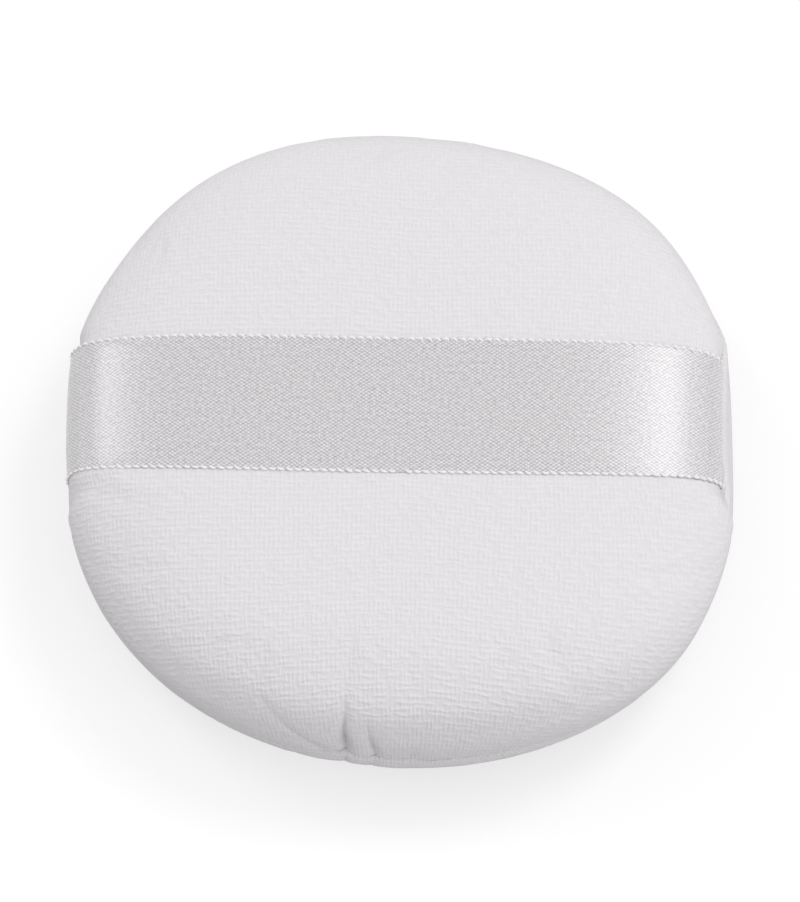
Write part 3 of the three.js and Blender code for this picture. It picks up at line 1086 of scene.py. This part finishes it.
def thread_material():
    """White spun thread."""
    material, tree, shader = new_material("thread", (0.83, 0.83, 0.83, 1), 0.6)
    fuzz = {"Place": object_place(tree), "Fibre size": thread_fibre_size}
    fuzz = add_group(tree, fibres, fuzz)
    tint(tree, shader, fuzz, thread_shade_colour, thread_bright_colour)
    raise_pattern(tree, shader, fuzz, thread_relief)
    return material


thread_tree = make_thread_tree()
thread = thread_material()
for name, line, diameter, node in (
    ("needle_thread", machine_line(upper_radius, 1), seam_thread, "seam_needle_thread"),
    ("bobbin_thread", machine_line(plan_radius, -1), seam_thread, "seam_bobbin_thread"),
    ("slip_stitches", closing_line(), closing_thread, "closing_thread"),
):
    values = {"Diameter": diameter, "Thread": thread}
    piece = grown(name, line_mesh(name, [line]), thread_tree, values)
    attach(piece, "puff")
    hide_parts(node)

# Studio
# A plain pale floor, a broad soft light from the back right, low ones from the front right and the
# left, two smaller lights that the satin mirrors as bands, and an even surround. The camera looks
# down from the front at the angle of the photograph.

image_height = 902
pixels_per_metre = 7411
camera_distance = 0.6
camera_elevation = math.radians(66)
camera_azimuth = math.radians(1)
# How many pixels right of and above the picture's middle the seam's middle lies
middle_right = 2
middle_up = 6.15
sensor = 36
clip_start = 0.01

floor_reach = 3
floor_shade = 0.4
floor_glow = 0.62
surround_strength = 0.675
light_distance = 1.5
# Each light's direction from the puff, its width and its power
lights = {
    "key": ((0.65, 0.45, 0.55), 1.0, 2.2),
    "right_band": ((0.415, 0.4, 0.82), 0.45, 4.6),
    "left_band": ((-0.585, 0.407, 0.7), 0.5, 3.4),
    "fill": ((0.7, -0.6, 0.25), 1.0, 6.2),
    "left_low": ((-0.9, 0.1, 0.25), 0.6, 1.7),
}


def make_camera():
    data = bpy.data.cameras.new("camera")
    camera = add_object("camera", data)
    level = math.cos(camera_elevation)
    towards = np.array([
        math.sin(camera_azimuth) * level,
        -math.cos(camera_azimuth) * level,
        math.sin(camera_elevation),
    ])
    camera.location = seam_middle + towards * camera_distance
    camera.rotation_euler = (quarter_turn - camera_elevation, 0, camera_azimuth)
    data.sensor_width = sensor
    data.lens = sensor * camera_distance * pixels_per_metre / image_height
    data.shift_x = -middle_right / image_height
    data.shift_y = -middle_up / image_height
    data.clip_start = clip_start
    bpy.context.scene.camera = camera


def make_floor():
    """A grey floor whose glow, seen directly or mirrored, makes it white."""
    mesh = bpy.data.meshes.new("floor")
    corners = np.array([(-1, -1, 0), (1, -1, 0), (1, 1, 0), (-1, 1, 0)]) * floor_reach
    mesh.from_pydata(corners.tolist(), [], [(0, 1, 2, 3)])
    floor = add_object("floor", mesh)
    material, tree, shader = new_material("floor", (*[floor_shade] * 3, 1), 0.9)
    shader.inputs["Specular IOR Level"].default_value = 0
    shader.inputs["Emission Color"].default_value = (1, 1, 1, 1)
    rays = add_node(tree, "ShaderNodeLightPath")
    seen = rays["Is Camera Ray"]
    for other in ("Is Glossy Ray", "Is Transmission Ray"):
        seen = reckon(tree, "MAXIMUM", seen, rays[other])
    glow = reckon(tree, "MULTIPLY", seen, floor_glow)
    tree.links.new(glow, shader.inputs["Emission Strength"])
    mesh.materials.append(material)


def make_surround():
    """An even surround, which the camera sees as white."""
    world = bpy.data.worlds.new("surround")
    bpy.context.scene.world = world
    world.use_nodes = True
    tree = world.node_tree
    rays = add_node(tree, "ShaderNodeLightPath")
    strength = {0: rays["Is Camera Ray"], "A": surround_strength, "B": 1}
    strength = add_node(tree, "ShaderNodeMix", strength, data_type="FLOAT")[0]
    background = tree.nodes["Background"]
    background.inputs["Color"].default_value = (1, 1, 1, 1)
    tree.links.new(strength, background.inputs["Strength"])


def soft_light(name, towards, size, power):
    """A square soft light in that direction from the puff, facing it."""
    data = bpy.data.lights.new(name, "AREA")
    data.size, data.energy = size, power
    light = add_object(name, data)
    x, y, z = np.array(towards) / np.linalg.norm(towards)
    light.location = seam_middle + light_distance * np.array([x, y, z])
    light.rotation_euler = (math.acos(z), 0, math.atan2(y, x) + quarter_turn)


make_camera()
make_floor()
make_surround()
for name, light in lights.items():
    soft_light(name, *light)
bpy.context.scene.view_settings.view_transform = "Standard"
